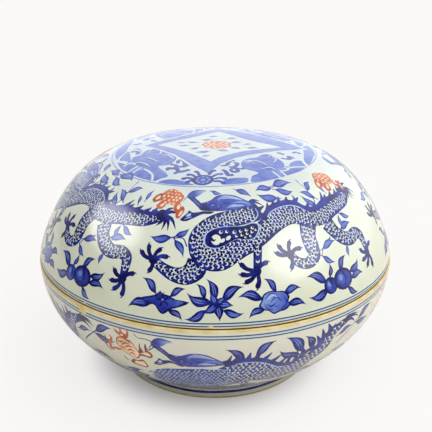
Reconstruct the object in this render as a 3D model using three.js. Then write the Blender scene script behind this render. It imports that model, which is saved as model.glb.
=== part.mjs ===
// Round porcelain box with a domed cover: a footed bowl and a loose cover, each turned about +Z.
// Units are millimetres. The origin is the centre of the foot ring's underside, with +Z up.
import * as THREE from "three";

// Bowl
const BOWL_RADIUS = 171; // outside, at the mouth
const BOWL_HEIGHT = 117; // table to the ledge that carries the cover
const BOWL_WALL = 7;
const BOWL_FULLNESS = 2.26; // power of the side's curve: 1 is a cone, higher is fuller
const FLOOR_THICKNESS = 9;

// Foot ring
const FOOT_RADIUS = 99.5; // outside
const FOOT_HEIGHT = 11.2; // table to where the side springs from the foot
const FOOT_WIDTH = 9; // across the ring that meets the table
const FOOT_RECESS = 10; // depth of the hollow under the floor
const FOOT_BEVEL = 1.5; // on both edges of the ring's underside

// Mouth of the bowl
const FLANGE_HEIGHT = 9; // upstand that keeps the cover from sliding off
const FLANGE_THICKNESS = 4;
const FLANGE_CLEARANCE = 1.2; // radial, to the inside of the cover
const FLANGE_BEVEL = 1; // on both edges of its top
const GALLERY_DROP = 12; // depth over which the wall thickens to carry the flange
const GALLERY_SEAT = 3; // straight part under the ledge
const MOUTH_ROUND = 2; // bare rounded edge outside the ledge

// Cover
const LIP_OVERHANG = 1; // how far the bowl's lip stands out past the cover's rim
const COVER_SKIRT = 4.6; // upright band above the rim
const COVER_RISE = 93; // skirt to crown
const COVER_WALL = 6.5;
const SHOULDER_FULLNESS = 4.4; // power across the dome: 2 is an ellipse, higher is squarer
const CROWN_FULLNESS = 1.14; // power up the dome
const RIM_ROUND = 1.2; // rounded lower edge of the cover
const SEAT_GAP = 0.3; // what the bare rims leave between cover and ledge

// Facets
const SIDES = 64; // around the axis
const DOME_STEPS = 16;
const SIDE_STEPS = 10;
const ROUND_STEPS = 3;

const at = (radius, z) => new THREE.Vector2(radius, z);

// A quarter round from one point to the next about a centre, without its first point.
function quarterRound(centre, radius, startAngle) {
  return Array.from({ length: ROUND_STEPS }, (_, i) => {
    const angle = startAngle + ((i + 1) / ROUND_STEPS) * (Math.PI / 2);
    return at(centre.x + radius * Math.cos(angle), centre.y + radius * Math.sin(angle));
  });
}

// The same curve, moved to its left by a wall's thickness.
function offset(curve, distance) {
  return curve.map((point, i) => {
    const before = curve[Math.max(i - 1, 0)];
    const after = curve[Math.min(i + 1, curve.length - 1)];
    const along = after.clone().sub(before).normalize();
    return at(point.x - along.y * distance, point.y + along.x * distance);
  });
}

// A curve's radius at a height, for a curve that runs upwards and carries on straight below its first point.
function radiusAt(curve, z) {
  const next = Math.max(curve.findIndex((point) => point.y >= z), 1);
  const [low, high] = [curve[next - 1], curve[next]];
  return THREE.MathUtils.mapLinear(z, low.y, high.y, low.x, high.x);
}

function turned(name, profile, material) {
  const mesh = new THREE.Mesh(new THREE.LatheGeometry(profile, SIDES), material);
  mesh.name = name;
  return mesh;
}

const glazedPorcelain = (color) =>
  new THREE.MeshStandardMaterial({ color, roughness: 0.12, metalness: 0 });

// Cover: the dome is a superellipse on a short upright skirt.
const coverRadius = BOWL_RADIUS - LIP_OVERHANG;
const rimZ = BOWL_HEIGHT + SEAT_GAP;
const springZ = rimZ + COVER_SKIRT;
const dome = Array.from({ length: DOME_STEPS + 1 }, (_, i) => {
  const angle = (i / DOME_STEPS) * (Math.PI / 2);
  const radius = coverRadius * Math.max(Math.cos(angle), 0) ** (2 / SHOULDER_FULLNESS);
  return at(radius, springZ + COVER_RISE * Math.sin(angle) ** (2 / CROWN_FULLNESS));
});
dome[DOME_STEPS].x = 0;
const domeInside = offset(dome, COVER_WALL).filter((point) => point.y > springZ);
domeInside.at(-1).set(0, springZ + COVER_RISE - COVER_WALL);
const skirtInside = coverRadius - COVER_WALL;
const coverInside = [at(skirtInside, rimZ), at(skirtInside, springZ), ...domeInside];
const coverProfile = [
  at(skirtInside, rimZ),
  at(coverRadius - RIM_ROUND, rimZ),
  ...quarterRound(at(coverRadius - RIM_ROUND, rimZ + RIM_ROUND), RIM_ROUND, -Math.PI / 2),
  ...dome,
  ...coverInside.toReversed(),
];
const cover = turned("cover", coverProfile, glazedPorcelain(0xe4e6da));

// Bowl: the side swells from the foot to the mouth, where a flange stands inside the cover.
const side = Array.from({ length: SIDE_STEPS + 1 }, (_, i) => {
  const z = THREE.MathUtils.lerp(FOOT_HEIGHT, BOWL_HEIGHT - MOUTH_ROUND, i / SIDE_STEPS);
  const down = (BOWL_HEIGHT - z) / (BOWL_HEIGHT - FOOT_HEIGHT);
  return at(BOWL_RADIUS - (BOWL_RADIUS - FOOT_RADIUS) * down ** BOWL_FULLNESS, z);
});
const floorZ = FOOT_RECESS + FLOOR_THICKNESS;
const galleryZ = BOWL_HEIGHT - GALLERY_DROP;
const sideInside = offset(side, BOWL_WALL);
const inside = sideInside.filter((point) => point.y > floorZ && point.y < galleryZ);
const floorRadius = radiusAt(sideInside, floorZ);
const flangeTop = BOWL_HEIGHT + FLANGE_HEIGHT;
const flangeRadius = radiusAt(coverInside, flangeTop) - FLANGE_CLEARANCE;
const flangeInside = flangeRadius - FLANGE_THICKNESS;
const footInside = FOOT_RADIUS - FOOT_WIDTH;
const mouthCentre = at(side[SIDE_STEPS].x - MOUTH_ROUND, BOWL_HEIGHT - MOUTH_ROUND);
const bowlProfile = [
  at(0, FOOT_RECESS),
  at(footInside, FOOT_RECESS),
  at(footInside, FOOT_BEVEL),
  at(footInside + FOOT_BEVEL, 0),
  at(FOOT_RADIUS - FOOT_BEVEL, 0),
  at(FOOT_RADIUS, FOOT_BEVEL),
  ...side,
  ...quarterRound(mouthCentre, MOUTH_ROUND, 0),
  at(flangeRadius, BOWL_HEIGHT),
  at(flangeRadius, flangeTop - FLANGE_BEVEL),
  at(flangeRadius - FLANGE_BEVEL, flangeTop),
  at(flangeInside + FLANGE_BEVEL, flangeTop),
  at(flangeInside, flangeTop - FLANGE_BEVEL),
  at(flangeInside, BOWL_HEIGHT - GALLERY_SEAT),
  ...inside.reverse(),
  at(floorRadius, floorZ),
  at(0, floorZ),
];
const bowl = turned("bowl", bowlProfile, glazedPorcelain(0xdfe2d4));

// The turning axis is three.js's +Y, so the box is stood up along +Z.
const box = new THREE.Group();
box.rotation.x = Math.PI / 2;
box.add(bowl, cover);

export default new THREE.Group().add(box);
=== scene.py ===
"""A round lidded porcelain box on a pale studio floor.

Two fired pieces: a footed bowl and a loose domed cover. Both are turned about +Z and painted under a clear
glaze with dragons, flaming pearls and sprays of fruit in cobalt blue and iron red. -Y is the front.
"""
import cmath
import math
import random

import bpy
import numpy as np
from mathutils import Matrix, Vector
from mathutils.bvhtree import BVHTree
from mathutils.geometry import delaunay_2d_cdt


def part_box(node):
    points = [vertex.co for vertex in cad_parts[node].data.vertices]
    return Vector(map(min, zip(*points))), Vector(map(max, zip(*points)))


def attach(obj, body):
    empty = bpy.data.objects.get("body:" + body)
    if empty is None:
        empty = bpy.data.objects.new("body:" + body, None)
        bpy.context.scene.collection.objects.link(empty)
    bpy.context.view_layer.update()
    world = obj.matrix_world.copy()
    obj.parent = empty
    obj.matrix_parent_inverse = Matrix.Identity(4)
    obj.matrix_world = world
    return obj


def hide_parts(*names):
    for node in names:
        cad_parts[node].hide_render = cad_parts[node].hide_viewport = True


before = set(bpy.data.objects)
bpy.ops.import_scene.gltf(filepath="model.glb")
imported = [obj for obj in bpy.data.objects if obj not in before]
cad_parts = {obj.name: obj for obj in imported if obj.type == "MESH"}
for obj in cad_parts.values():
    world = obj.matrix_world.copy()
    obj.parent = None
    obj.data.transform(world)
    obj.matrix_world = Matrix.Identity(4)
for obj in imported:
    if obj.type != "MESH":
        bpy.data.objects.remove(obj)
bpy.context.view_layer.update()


# Bowl
# Thrown porcelain on a foot ring, with a bare ledge and an upright flange that keeps the cover in place.
# The outside is painted by hand, then the piece is dipped in clear glaze; rim and foot ring are wiped bare.
MM = 0.001
COLUMNS = 192  # vertices round every ring
TURNS = [360 * k / COLUMNS for k in range(COLUMNS)]  # where they stand, in degrees
LINE_THICKNESS = 1.2  # of the slate-blue lines beside the seam
LINE_WAVER = 0.25  # mm by which a painted line strays
# Middle and radius of each patch of a piece on its sheet of baked colour.
BAKE_SHEET = {"outside": (0.40 + 0.40j, 0.395), "inside": (0.83 + 0.83j, 0.165),
              "under": (0.90 + 0.10j, 0.09)}
SECTORS = ((-82, 1.0), (0, 1.0), (92.7, 1.09), (185.3, 1.09))  # where each dragon lies, and its stretch

# Paint is four densities: cobalt, iron red, bare clay where the glaze is wiped off, and slate-blue lines.
# On bare clay the fourth density darkens it instead: to brown at the foot, and as painted shade in the
# joint.
GROUND = (0, 0, 0, 0)
PALE = (0.16, 0, 0, 0)
WASH = (0.36, 0, 0, 0)
BLUE = (0.6, 0, 0, 0)
COBALT = (0.8, 0, 0, 0)
INK = (0.9, 0, 0, 0)
NAVY = (1, 0, 0, 0)
BLUSH = (0, 0.25, 0, 0)
TAN = (0, 0.4, 0, 0)
ROSE = (0, 0.62, 0, 0)
RED = (0, 0.85, 0, 0)
UMBER = (0, 1, 0, 0)
SAND = (0, 0, 0.45, 0)
CLAY = (0, 0, 1, 0)
BROWN = (0, 0, 1, 0.5)
# painted shade: near-black brown bare clay in the joint between cover and bowl
PAINTED_JOINT_SHADE = (0, 0, 1, 1)
MILK = (0.05, 0, 0, 0)  # a film of blue over bare ground
MIST = (0, 0, 0, 0.3)
SLATE = (0, 0, 0, 1)

hand = random.Random(11)  # the painter's unsteady hand


def blend(paint, other, part):
    """Part of the way from one paint to another."""
    return tuple(a + (b - a) * part for a, b in zip(paint, other))


def faded(paint, fade, flat):
    """The paint at a place on the flat disc; a fade is another paint and the two places it runs between."""
    if not fade:
        return paint
    other, start, end = fade
    part = ((flat - start) * (end - start).conjugate()).real / abs(end - start) ** 2
    return blend(paint, other, min(max(part, 0), 1))


class Outside:
    """The painted outside of a turned piece. A place on it is a turn about the axis in degrees (0 is the
    front, positive to the right) and a way up the surface in mm. For drawing, it is laid flat as a disc."""
    WELD = 1e-3  # mm within which corners of shapes are joined

    def __init__(self, radii, heights, zero_height, middle):
        self.radii = np.array(radii)
        self.heights = np.array(heights)
        arc = np.concatenate([[0], np.cumsum(np.hypot(np.diff(radii), np.diff(heights)))])
        self.up = arc - np.interp(zero_height, heights, arc)
        self.out = np.gradient(self.heights, arc)
        self.rise = -np.gradient(self.radii, arc)
        self.middle = self.up[-1] if middle == "crown" else -self.radii[0] + self.up[0]
        self.shapes = []

    def up_at(self, height):
        return float(np.interp(height, self.heights, self.up))

    def radius_at(self, up):
        return float(np.interp(up, self.up, self.radii))

    def flat(self, turn, up):
        return -1j * abs(up - self.middle) * cmath.exp(1j * math.radians(turn))

    def solid(self, flat):
        """Radius, height, turn in radians, and normal of a place on the flat disc."""
        up = self.middle + (abs(flat) if self.middle < self.up[0] else -abs(flat))
        turn = cmath.phase(flat * 1j) if flat else 0.0
        normal = complex(np.interp(up, self.up, self.out), np.interp(up, self.up, self.rise))
        return self.radius_at(up), float(np.interp(up, self.up, self.heights)), turn, normal / abs(normal)

    def paint(self, flat_points, paint, fade=None):
        self.shapes.append((flat_points, paint, fade))

    def circle(self, up, paint, waver=0.0):
        """Everything inside a painted circle; waver is how far the brush strays, in mm."""
        stray = [math.sin(math.radians(5 * t)) + math.sin(math.radians(13 * t + 40)) for t in TURNS]
        self.paint([self.flat(t, up + waver * s / 2) for t, s in zip(TURNS, stray)], paint)

    def here(self, turn, up):
        """A function that places a brush's points about one spot."""
        degree = math.radians(1) * self.radius_at(up)
        return lambda p: self.flat(turn + p.real / degree, up + p.imag)

    def cut(self, low, high):
        """The shapes between two ways up, cut into triangles: their knots, corners and looks. A look is the
        paint and fade of the shape painted last there, or None inside the smaller rim."""
        points = []
        faces = []
        areas = []

        def outline(flat_points):
            after = flat_points[1:] + flat_points[:1]
            area = sum((a.conjugate() * b).imag for a, b in zip(flat_points, after))
            areas.append(abs(area) / 2)
            faces.append(list(range(len(points), len(points) + len(flat_points))))
            points.extend(flat_points if area > 0 else flat_points[::-1])

        rims = sorted((abs(self.flat(0, up)), up) for up in (low, high))
        for size, up in rims[::-1]:
            if size > 0.01:
                outline([self.flat(t, up) for t in TURNS])
        hole = rims[0][0]
        first_shape = len(faces)
        for flat_points, _, _ in self.shapes:
            outline(flat_points)
        places = [Vector((p.real, p.imag)) for p in points]
        knots, _, triangles, _, _, owners = delaunay_2d_cdt(places, [], faces, 0, self.WELD, True)
        owned = [0.0] * len(faces)
        for (a, b, c), shapes in zip(triangles, owners):
            for shape in shapes:
                owned[shape] += abs((knots[b] - knots[a]).cross(knots[c] - knots[a])) / 2
        # A sliver that the cut merges away would own far more than its own area, so it is left out.
        spilt = {k for k, (has, own) in enumerate(zip(owned, areas)) if has > 1.2 * own + 0.5}
        looks = []
        for (a, b, c), shapes in zip(triangles, owners):
            top = max((shape for shape in shapes if shape not in spilt), default=0) - first_shape
            look = self.shapes[top][1:] if top >= 0 else (GROUND, None)
            looks.append(look if (knots[a] + knots[b] + knots[c]).length > 3 * hole * 0.999 else None)
        return knots, triangles, looks


def width_at(part, widths):
    """Width of a stroke a part of the way along it, when its widths are spread evenly."""
    return np.interp(part, np.linspace(0, 1, len(widths)), widths)


def heading(path, k):
    """The way a path runs past one of its points."""
    return path[min(k + 1, len(path) - 1)] - path[max(k - 1, 0)]


def resized(outline, middle, share):
    """An outline drawn larger or smaller about a middle."""
    return [middle + (p - middle) * share for p in outline]


class Brush:
    """Draws on an outside. Points are complex numbers in mm, real to the right and imaginary up."""

    def __init__(self, outside, place):
        self.outside = outside
        self.place = place

    def fill(self, points, paint, fade=None):
        """One flat shape; fade is another paint with the two points between which it changes."""
        if fade:
            other, start, end = fade
            fade = (other, self.place(start), self.place(end))
        self.outside.paint([self.place(p) for p in points], paint, fade)

    def stroke(self, path, widths, paint, last=None):
        """A brush stroke along a path; widths are spread evenly along it, and last is its end's paint."""
        count = len(path)
        half = width_at(np.linspace(0, 1, count), widths) / 2
        sides = []
        for i, p in enumerate(path):
            ahead = heading(path, i)
            across = 1j * ahead / max(abs(ahead), 1e-9) * half[i]
            sides.append((p + across, p - across))
        for i, ((a, b), (d, c)) in enumerate(zip(sides, sides[1:])):
            mixed = blend(paint, last or paint, i / max(count - 2, 1))
            for half_quad in ((a, b, c), (a, c, d)):
                self.fill(half_quad, mixed)

    def dot(self, centre, radius, paint, squash=1.0, lean=0, points=10):
        tilt = cmath.exp(1j * math.radians(lean))
        turns = [2 * math.pi * k / points for k in range(points)]
        self.fill([centre + tilt * radius * complex(math.cos(t), squash * math.sin(t)) for t in turns],
                  paint)


def smooth(points, steps, closed=False):
    """A soft curve through a few points, with some steps from one to the next."""
    first = points[-1] if closed else 2 * points[0] - points[1]
    rest = [points[0], points[1]] if closed else [2 * points[-1] - points[-2]]
    knots = [first, *points, *rest]
    bends = []
    for a, b, c, d in zip(knots, knots[1:], knots[2:], knots[3:]):
        for k in range(steps):
            t = k / steps
            bends.append(b + t / 2 * (c - a + t * (2 * a - 5 * b + 4 * c - d + t * (3 * b - 3 * c + d - a))))
    return bends if closed else bends + [points[-1]]


def curve(at, places, steps=4, closed=False):
    """A soft curve through places that a function puts in mm."""
    return smooth([at(*p) for p in places], steps, closed)


def sector(outside, degree, turn, stretch):
    """A brush for one dragon's share of an outside, in mm from the middle of that share."""
    return Brush(outside, lambda p: outside.flat(turn + stretch * p.real / degree, p.imag))


def spaced(path, gap):
    """Points a fixed gap apart along a path, each with the direction of travel and how far along it is."""
    lengths = np.concatenate([[0], np.cumsum(np.abs(np.diff(path)))])
    marks = np.arange(gap / 2, lengths[-1], gap)
    real = np.interp(marks, lengths, np.real(path))
    imag = np.interp(marks, lengths, np.imag(path))
    points = real + 1j * imag
    ahead = np.gradient(points)
    return [(complex(p), complex(a / abs(a)), m / lengths[-1]) for p, a, m in zip(points, ahead, marks)]


def leaf(brush, base, tip, breadth, edge=NAVY, heart=COBALT, bend=0.12):
    """A pointed leaf with a twist: a dark brushed edge, a lighter heart and two thin bright veins."""
    def at(t, side):
        sway = bend * (math.sin(math.pi * t) - 0.2 * math.sin(2 * math.pi * t))
        swell = math.sin(math.pi * t ** 0.8) ** 1.5
        return base + (tip - base) * complex(t, sway + side * breadth / 2 * swell)

    steps = [k / 9 for k in range(10)]
    brush.fill([at(t, -1) for t in steps] + [at(t, 1) for t in steps[-2:0:-1]], edge)
    inner = (0.3, 0.45, 0.6, 0.74)
    lens = [at(0.15, 0), *(at(t, -0.56) for t in inner), at(0.86, 0), *(at(t, 0.5) for t in inner[::-1])]
    brush.fill(lens, heart)
    for side in (0.2, -0.25):
        brush.stroke([at(t, side) for t in inner], (0.2, 0.035 * abs(tip - base), 0.2), WASH)
    brush.stroke([base - 0.14 * (tip - base), base, at(0.2, 0)], (0.7, 1.0, 1.6), edge)


ROW_STEP = 0.86  # from row to row of scales, as a share of their pitch
SEAT_MARGIN = 1.3  # mm from the edge of a stroke to the nearest seat
SEAT_STRAY = 0.13  # of the pitch
HEART_SHIFT = 0.2  # of a scale's size
RIM_WIDTH = 0.115  # of a scale's size


def seats_along(path, widths, pitch):
    """Seats for scales in staggered rows across a stroke, each with the direction of the stroke there."""
    for row, (p, ahead, part) in enumerate(spaced(path, ROW_STEP * pitch)):
        width = float(width_at(part, widths))
        columns = int(width / pitch) + 1
        for k in range(-columns, columns + 1):
            aside = (k + row % 2 / 2) * pitch
            if abs(aside) < width / 2 - SEAT_MARGIN:
                yield p + 1j * ahead * aside, ahead


def seats_over(path, widths, pitch):
    """The same for a broad stroke with tight bends, in level rows."""
    line = np.array(path)
    half = width_at(np.linspace(0, 1, len(line)), widths) / 2
    reach = max(half)
    for row, up in enumerate(np.arange(line.imag.min() - reach, line.imag.max() + reach, ROW_STEP * pitch)):
        for along in np.arange(line.real.min() - reach, line.real.max() + reach, pitch):
            seat = complex(along + row % 2 * pitch / 2, up)
            near = int(np.argmin(abs(line - seat) - half))
            if abs(line[near] - seat) < half[near] - SEAT_MARGIN:
                ahead = heading(line, near)
                yield seat, complex(ahead / abs(ahead))


def scaly(brush, path, widths, light=MILK, pitch=3.5, rim=0.47, seats=seats_along):
    """A scaled body or limb: a dark stroke, with a white rim left round the dark heart of every scale."""
    brush.stroke(path, [w + 1.0 for w in widths], NAVY)
    brush.stroke(path, [max(w - 1.4, 0.5) for w in widths], INK)
    for seat, ahead in seats(path, widths, pitch):
        centre = seat + SEAT_STRAY * pitch * complex(hand.uniform(-1, 1), hand.uniform(-1, 1))
        size = pitch * hand.uniform(0.9, 1.1)
        heart = ahead * cmath.rect(HEART_SHIFT * size, math.radians(hand.uniform(-35, 35)))
        brush.dot(centre, rim * size, light, lean=hand.uniform(0, 60), points=6)
        brush.dot(centre - heart, (rim - RIM_WIDTH) * size, NAVY, lean=hand.uniform(0, 60), points=5)


def claw(brush, palm, tips):
    """Thick dark toes spread from a palm, each with a thin hooked nail."""
    thick = 4.2
    brush.dot(palm, thick * 0.9, NAVY)
    for tip in tips:
        reach = tip - palm
        toe = smooth([palm, palm + reach * complex(0.55, 0.10), palm + reach * 0.9], 3)
        brush.stroke(toe, (thick * 0.7, thick * 0.8, thick), NAVY)
        brush.dot(palm + reach * 0.9, thick / 2, NAVY, points=8)
        hook = [palm + reach * 0.98 + thick * reach / abs(reach) * c for c in (0j, 0.36 - 0.1j, 0.5 - 0.5j)]
        brush.stroke(smooth(hook, 3), (1.5, 1.0, 0.3), NAVY)


def thorn(brush, base, tip):
    """One curved point of a back fin."""
    width = 6.0
    reach = tip - base
    side = 0.5j * width * reach / abs(reach)
    brush.fill(smooth([base + side, base + 0.45 * reach + 0.55 * side, tip, base + 0.4 * reach - 0.6 * side,
                       base - side], 3), INK)


def fin(brush, at, band, thorns, parted, drop):
    """The dark fin along the back: a thick band with thorns. Some of it is parted from the scales by a pale
    line, a drop below the band's middle."""
    for base, tip in thorns:
        thorn(brush, at(*base), at(*tip))
    brush.stroke(curve(at, band), (4.6, 5.0, 5.4, 5.0, 4.6, 3.0), INK)
    brush.stroke(curve(at, [(degrees, up - drop) for degrees, up in parted]), (0.9,), PALE)


def tuft(brush, at, root, tips, thick):
    """Hairs of a tail or mane, from one root."""
    start = at(*root)
    for tip in tips:
        reach = at(*tip) - start
        hair = smooth([start, start + reach * complex(0.5, 0.18), at(*tip)], 3)
        brush.stroke(hair, (thick, thick * 0.8, 0.4), NAVY)


def dragon_head(brush, at, size):
    """Upturned snout, open jaw and a brushed mane with pale sweeps; at puts (degrees, mm) in place."""
    def line(places, widths, paint, last=None):
        brush.stroke(curve(at, places), [w * size for w in widths], paint, last)

    def shape(places, paint, fade=None, shrink=1.0):
        outline = curve(at, places, 4, closed=True)
        middle = sum(outline) / len(outline)
        brush.fill(resized(outline, middle, shrink), paint, fade)

    tuft(brush, at, (13, 101), ((19, 97.5), (18.2, 103), (17.5, 93)), 3.4)
    mane = ((-5.5, 102.5), (-4, 104.1), (-1.8, 106.4), (0.2, 110.4), (2.6, 112.3), (5.4, 112.5),
            (8.2, 111.2), (10.3, 108.6), (12.7, 105.1), (14.6, 101.7), (14.9, 99.1), (12.6, 98.2),
            (8.7, 96.5), (3.5, 95.4), (-0.4, 95.1), (-4.4, 96.1))
    shape(mane, NAVY)
    shape(mane, COBALT, (BLUE, at(-3, 100), at(12, 105)), 0.94)
    line(((0.8, 107), (3.8, 109.6), (7.2, 109), (11, 105.8)), (0.6, 4.2, 3.0, 0.8), WASH, PALE)
    line(((4.6, 98.3), (7, 100.2), (11.2, 99.8)), (0.6, 3.0, 0.8), WASH, PALE)
    line(((7.4, 103), (10.6, 103.6), (13.9, 100.9)), (0.6, 2.2, 0.6), WASH)
    for curl in (((-2.4, 100.2), (-1.6, 102.8), (0, 103), (0.5, 100.8), (-0.6, 99.4)),
                 ((2.8, 104.3), (4.4, 102.7), (6.4, 103.5)),
                 ((0.3, 96.8), (1.7, 97.7), (2.5, 100.4), (1.6, 102.6)),
                 ((-3.6, 98.6), (-4.2, 101), (-2.8, 102.4))):
        line(curl, (0.8, 1.6, 0.6), NAVY)
    for degrees, up in ((-1, 101), (-3, 104), (1.6, 106)):
        brush.dot(at(degrees, up), 0.8 * size, WASH, points=6)
    shape(((-11.8, 108.7), (-10.5, 106.2), (-8.5, 102.7), (-6.7, 98.9), (-5.1, 95.6), (-2, 96),
           (-3.6, 101.5), (-5.5, 103), (-6.6, 105.1), (-8, 107.6), (-9.6, 110.2)), NAVY)
    line(((-9.8, 108), (-8, 104.6), (-6, 100.4)), (0.8, 2.4, 0.8), BLUE)
    horn = ((-11.9, 109.3), (-11.2, 113.5), (-9.9, 116.2), (-7.9, 117.4), (-5.1, 117.5), (-3.6, 117),
            (-5.4, 114.3), (-6.8, 111.4), (-8.4, 109), (-10.2, 108))
    shape(horn, COBALT, (PALE, at(-10.4, 112), at(-4.6, 115.4)))
    line(((-11.9, 109.6), (-11.2, 113.2), (-9.9, 115.9), (-7.9, 117), (-4.4, 117)), (1.4, 1.6, 0.8), COBALT)
    shape(((-9.8, 95.1), (-8.4, 93.4), (-6.1, 94.1), (-4.3, 95), (-0.4, 94.6), (-1.9, 92.5), (-4.2, 92.4),
           (-5.9, 90.7), (-7.3, 88.8), (-8.6, 87.1), (-10.2, 85.1), (-11.9, 85.1), (-12.5, 86.4),
           (-11.9, 88.4), (-10.4, 92.4)), NAVY)
    shape(((-10.6, 89.3), (-10, 91.8), (-8.9, 92.2), (-9.1, 90)), PALE)
    line(((-11, 86.6), (-9.8, 88.2), (-8.4, 89.2)), (0.6, 1.6, 0.6), WASH)
    line(((-11.8, 109), (-12.6, 106.5), (-13, 103.5)), (1.0, 0.8, 0.3), NAVY)


def outlined_pearl(brush, at):
    """A long pearl with curling flames, in brown-red lines with a faint blush inside."""
    def shape(places, paint):
        brush.fill(curve(at, places, 3, closed=True), paint)

    shape(((-26.6, 114.8), (-27.5, 117.2), (-28.2, 118.5), (-28.8, 121.6), (-27.7, 120.5), (-27, 119.6),
           (-26.8, 122.4), (-27.7, 125), (-26.4, 123.5), (-26.1, 120.8), (-25.3, 119.2), (-24.6, 120.3),
           (-24.6, 123.1), (-25.3, 125.4), (-24.2, 123.2), (-24, 119.8), (-24.3, 116.5), (-25.1, 114.2)),
          RED)
    shape(((-26.3, 118.3), (-25.6, 117.4), (-26.2, 116.4), (-26.9, 117)), BLUSH)
    for places, thick in ((((-21, 112.7), (-21.1, 108.4), (-20.8, 105.9), (-20.3, 103.9)), 2.2),
                          (((-19.2, 113.6), (-19.3, 109.5), (-19, 106.1)), 2.4),
                          (((-30.6, 113.5), (-30.1, 111.4), (-30.2, 109.1), (-30.9, 105.4), (-31.3, 100.5),
                            (-31.2, 96.5), (-30.4, 95.9)), 3.2),
                          (((-32.9, 112), (-32.3, 109.5), (-33.3, 105.8), (-33.1, 102.5), (-32.5, 97.2),
                            (-31.6, 94.5)), 2.0),
                          (((-31.2, 97), (-29.7, 99.4), (-28.6, 99.4), (-27.5, 99.8)), 3.4),
                          (((-27.4, 92.8), (-27.1, 87.8), (-26.3, 85.6)), 1.6)):
        brush.stroke(curve(at, places), (0.3 * thick, thick, 0.6 * thick), UMBER if thick < 3 else RED)
    for edge, light in (
            (((-22.4, 99.1), (-21.8, 97.8), (-20.5, 98.4), (-19.3, 97.6), (-18.2, 97.7), (-17.5, 100.9),
              (-17.9, 104.6), (-19, 106.7), (-19.6, 108.4), (-19.8, 104), (-20.7, 104), (-21.3, 106.3)),
             ((-21.5, 100.5), (-20.6, 100.8), (-19.4, 99.8), (-18.4, 99.7), (-18.1, 101.2), (-18.6, 103),
              (-19.3, 103.9), (-20.5, 102.5))),
            (((-24.4, 90.8), (-23.1, 90.2), (-21.3, 93), (-20.4, 89.8), (-20.1, 85.2), (-20.4, 82),
              (-21.3, 80.2), (-22.2, 80.8), (-23.5, 81.2), (-24.8, 81.9), (-25.9, 84.6)),
             ((-24, 88), (-22.8, 88.6), (-21.5, 90), (-20.8, 87.8), (-20.6, 84.2), (-21.3, 82.2),
              (-22.5, 83.2), (-24.4, 84)))):
        shape(edge, UMBER)
        shape(light, BLUSH)
    body = ((-28, 113.5), (-26.9, 115.1), (-25.4, 114.4), (-23.8, 113.7), (-23, 111.1), (-22.4, 106.6),
            (-21.7, 103), (-21.4, 98.8), (-22.8, 92.7), (-24.3, 94.3), (-25.8, 96.1), (-26.9, 98.8),
            (-27.9, 102.8), (-28.6, 106.2), (-28.5, 110.3))
    outline = curve(at, body, 3, closed=True)
    middle = sum(outline) / len(outline)
    brush.fill(outline, UMBER)
    brush.fill(resized(outline, middle, 0.9), TAN, (BLUSH, at(-27, 112), at(-22.5, 96)))
    for places in (((-27.9, 110.1), (-27.2, 109.3), (-26.2, 110.9)),
                   ((-27, 106.2), (-25.7, 109.4), (-24.2, 109.3)),
                   ((-25.9, 104.5), (-24.6, 107.1), (-23.4, 105.6)),
                   ((-25.6, 100.2), (-24.2, 103.1), (-23.2, 101.4)),
                   ((-25, 97.4), (-23.9, 99.4), (-23.1, 96.5)),
                   ((-27.6, 104.4), (-26.6, 103.4), (-26, 101.4)),
                   ((-25.4, 112.8), (-24.2, 112), (-23.8, 110.6))):
        brush.stroke(curve(at, places), (0.6, 1.7, 0.6), UMBER)


def rounded(corners, radii, side, steps=4):
    """A profile with rounded corners: (point, normal) pairs, with normals on one side (1 left, -1 right)."""
    profile = []
    first = (corners[1] - corners[0]) / abs(corners[1] - corners[0])
    profile.append((corners[0], side * 1j * first))
    for before, corner, after, radius in zip(corners, corners[1:], corners[2:], radii):
        back = (before - corner) / abs(before - corner)
        on = (after - corner) / abs(after - corner)
        half = abs(cmath.phase(on / back)) / 2
        centre = corner + (back + on) / abs(back + on) * radius / math.sin(half)
        start = corner + back * radius / math.tan(half) - centre
        sweep = cmath.phase((corner + on * radius / math.tan(half) - centre) / start)
        for k in range(steps + 1):
            spoke = start * cmath.exp(1j * sweep * k / steps)
            travel = spoke / radius * (1j if sweep > 0 else -1j)
            profile.append((centre + spoke, side * 1j * travel))
    last = (corners[-1] - corners[-2]) / abs(corners[-1] - corners[-2])
    profile.append((corners[-1], side * 1j * last))
    return profile


def placed(name, data):
    """A new object in the scene, for a mesh, lamp or camera."""
    made = bpy.data.objects.new(name, data)
    bpy.context.scene.collection.objects.link(made)
    return made


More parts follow.
